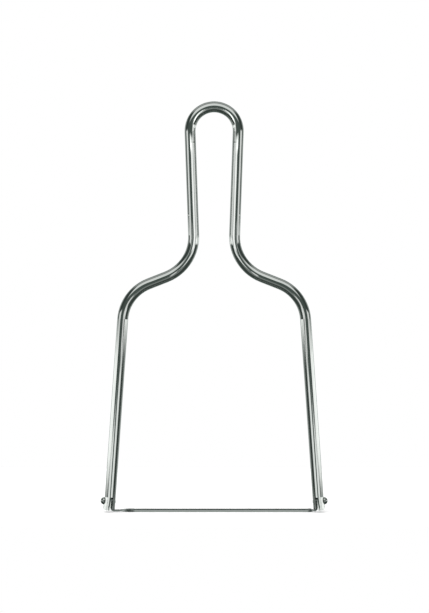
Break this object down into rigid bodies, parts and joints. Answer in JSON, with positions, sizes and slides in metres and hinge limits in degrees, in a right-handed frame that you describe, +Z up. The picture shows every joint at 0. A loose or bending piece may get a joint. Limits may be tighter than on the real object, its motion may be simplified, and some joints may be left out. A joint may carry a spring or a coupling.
{
  "type": "cheese slicer",
  "caption": "Bow-shaped hand slicer for cheese: a polished steel rod bent into a loop handle and spreading arms, with a thin cutting band riveted across its mouth.",
  "frame": {"origin": "middle of the cutting edge, the lowest point of the slicer as it stands upright in the picture", "axes": "+Z up the slicer's middle line to the top of the handle loop, +X along the cutting band to the right pin, -Y towards the viewer"},
  "size_m": [0.124, 0.006, 0.2241],
  "materials": {
    "bow_steel": "bright polished stainless steel rod, not plated",
    "band_steel": "cold-rolled stainless strip with a ground edge",
    "rivet_steel": "polished stainless rivet head, a little duller than the rod"
  },
  "bodies": {
    "root": {"bow_frame": "bow_steel", "cutting_band": "band_steel", "left_pin": "rivet_steel", "right_pin": "rivet_steel"}
  },
  "joints": []
}
